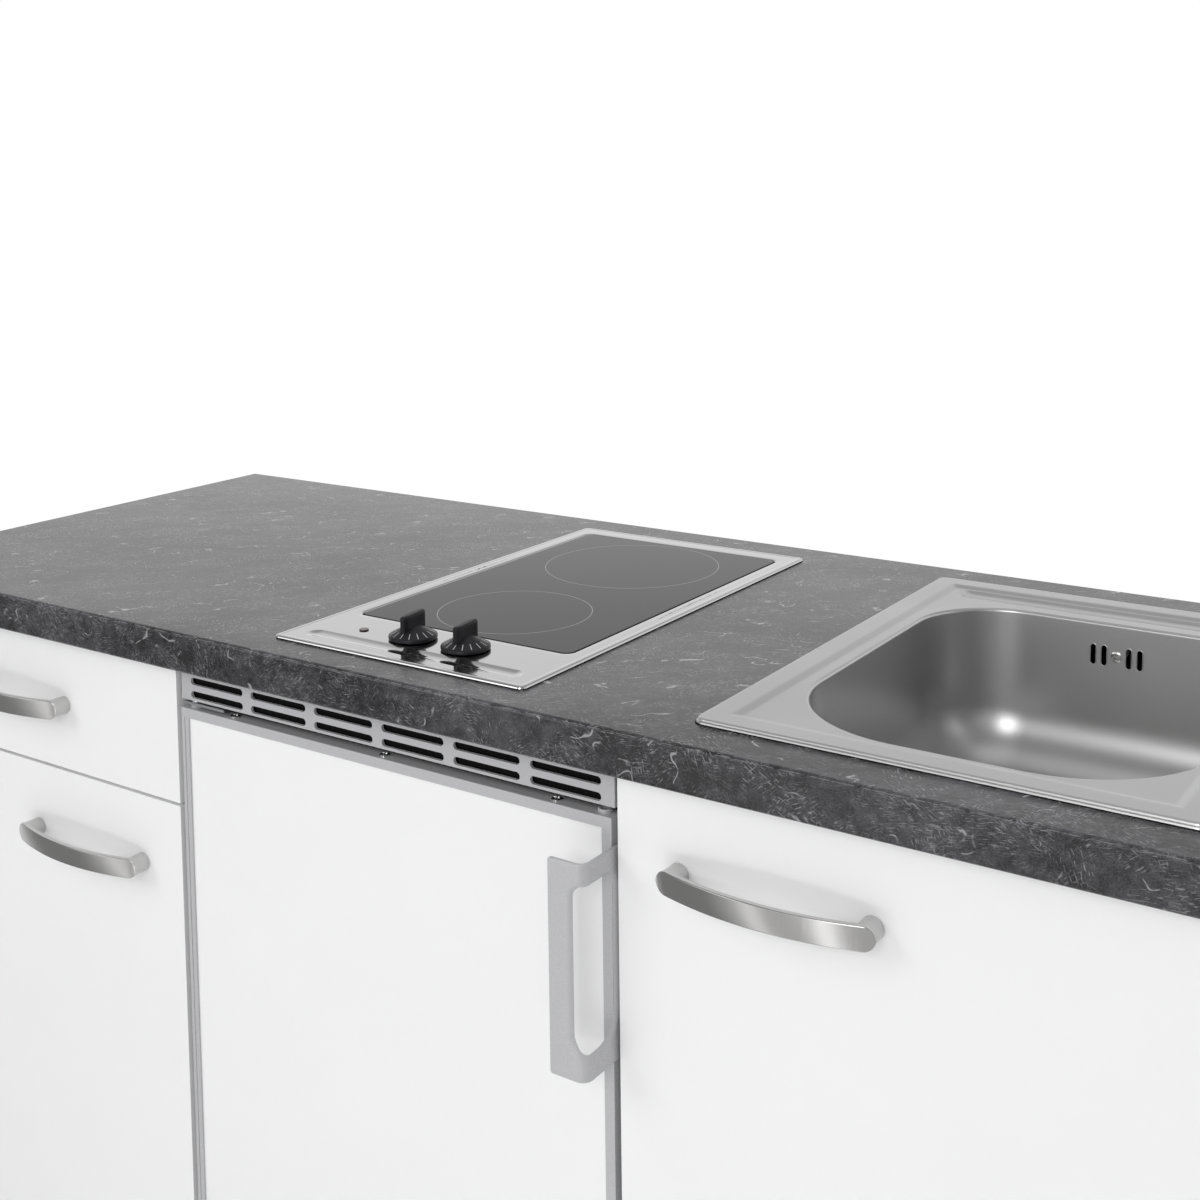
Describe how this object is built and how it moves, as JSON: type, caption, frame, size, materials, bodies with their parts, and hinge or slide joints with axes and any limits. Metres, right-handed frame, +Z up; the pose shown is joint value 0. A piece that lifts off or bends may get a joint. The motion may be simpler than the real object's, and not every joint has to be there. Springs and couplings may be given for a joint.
{
  "type": "kitchenette unit with sink and hob",
  "caption": "Fitted kitchenette: one worktop with an inset hob and sink over a drawer cabinet, a built-under fridge and a sink cabinet.",
  "frame": {"origin": "on the floor, below the middle of the unit's whole length and depth (grip and handles included)", "axes": "+X to the right along the worktop, +Y back towards the wall, +Z up"},
  "size_m": [1.5, 0.628, 0.8874],
  "materials": {
    "worktop_laminate": "matte",
    "white_board": "satin",
    "white_front": "satin",
    "white_steel": "satin",
    "zinc_steel": "satin",
    "black_steel": "satin",
    "satin_steel": "satin",
    "polished_steel": "polished",
    "brushed_handle": "satin",
    "grey_aluminium": "satin",
    "grey_plastic": "satin",
    "grey_seal": "matte",
    "black_plastic": "matte",
    "black_knob": "satin",
    "fridge_white": "satin",
    "liner_plastic": "satin",
    "pipe_white": "satin",
    "heater_grey": "matte",
    "red_lens": "gloss",
    "clear_glass": "gloss",
    "grey_glass": "satin"
  },
  "bodies": {
    "unit": {"worktop": "worktop_laminate", "worktop_end_bands": "worktop_laminate", "worktop_brackets": "zinc_steel", "left_outer_side": "white_board", "left_inner_side": "white_board", "right_inner_side": "white_board", "right_outer_side": "white_board", "cabinet_bottoms": "white_board", "left_back": "white_board", "right_back": "white_board", "left_top_rails": "white_board", "right_top_rails": "white_board", "cabinet_shelf": "white_board", "shelf_pins": "zinc_steel", "plinth_boards": "white_front", "cabinet_feet": "black_plastic", "drawer_runners": "white_steel", "hinge_plates": "zinc_steel", "fridge_case": "fridge_white", "fridge_liner": "liner_plastic", "fridge_shelves": "clear_glass", "fridge_grille": "grey_plastic", "fridge_feet": "black_plastic", "fridge_hinges": "zinc_steel", "fridge_compressor": "black_steel", "fridge_condenser": "black_steel", "thermostat_box": "liner_plastic", "hob_frame": "satin_steel", "hob_glass": "grey_glass", "hob_heaters": "heater_grey", "hob_tray": "zinc_steel", "hob_lamp": "red_lens", "hob_switches": "liner_plastic", "sink": "satin_steel", "overflow_duct": "grey_plastic", "overflow_screw": "polished_steel", "drain_and_trap": "pipe_white"},
    "drawer": {"drawer_front": "white_front", "drawer_handle": "brushed_handle", "drawer_sides": "white_board", "drawer_back": "white_board", "drawer_bottom": "white_board", "drawer_slides": "white_steel"},
    "left_door": {"left_door": "white_front", "left_door_handle": "brushed_handle", "left_hinge_cups": "zinc_steel"},
    "right_door": {"right_door": "white_front", "right_door_handle": "brushed_handle", "right_hinge_cups": "zinc_steel"},
    "fridge_door": {"fridge_door": "fridge_white", "fridge_door_panel": "white_front", "fridge_door_profiles": "grey_aluminium", "fridge_door_liner": "liner_plastic", "fridge_door_gasket": "grey_seal", "fridge_door_grip": "grey_aluminium", "fridge_door_screws": "polished_steel"},
    "front_zone_knob": {"front_zone_knob": "black_knob"},
    "rear_zone_knob": {"rear_zone_knob": "black_knob"},
    "thermostat_knob": {"thermostat_knob": "liner_plastic"},
    "strainer": {"drain_strainer": "polished_steel"}
  },
  "joints": [
    {"name": "drawer_slide", "type": "slide", "parent": "unit", "child": "drawer", "axis": [0, -1, 0], "range_m": [0, 0.33]},
    {"name": "left_door_hinge", "type": "hinge", "parent": "unit", "child": "left_door", "pos_m": [-0.742, -0.267, 0.393], "axis": [0, 0, -1], "range_deg": [0, 110]},
    {"name": "right_door_hinge", "type": "hinge", "parent": "unit", "child": "right_door", "pos_m": [0.742, -0.267, 0.462], "axis": [0, 0, 1], "range_deg": [0, 110]},
    {"name": "fridge_door_hinge", "type": "hinge", "parent": "unit", "child": "fridge_door", "pos_m": [-0.234, -0.261, 0.443], "axis": [0, 0, -1], "range_deg": [0, 90]},
    {"name": "front_knob_turn", "type": "hinge", "parent": "unit", "child": "front_zone_knob", "pos_m": [-0.0255, -0.188, 0.87], "axis": [0, 0, -1], "range_deg": [0, 270]},
    {"name": "rear_knob_turn", "type": "hinge", "parent": "unit", "child": "rear_zone_knob", "pos_m": [0.036, -0.188, 0.87], "axis": [0, 0, -1], "range_deg": [0, 270]},
    {"name": "thermostat_turn", "type": "hinge", "parent": "unit", "child": "thermostat_knob", "pos_m": [0.136, 0.039, 0.732], "axis": [0, 1, 0], "range_deg": [0, 270]},
    {"name": "strainer_lift", "type": "slide", "parent": "unit", "child": "strainer", "axis": [0, 0, 1], "range_m": [0, 0.06]}
  ]
}
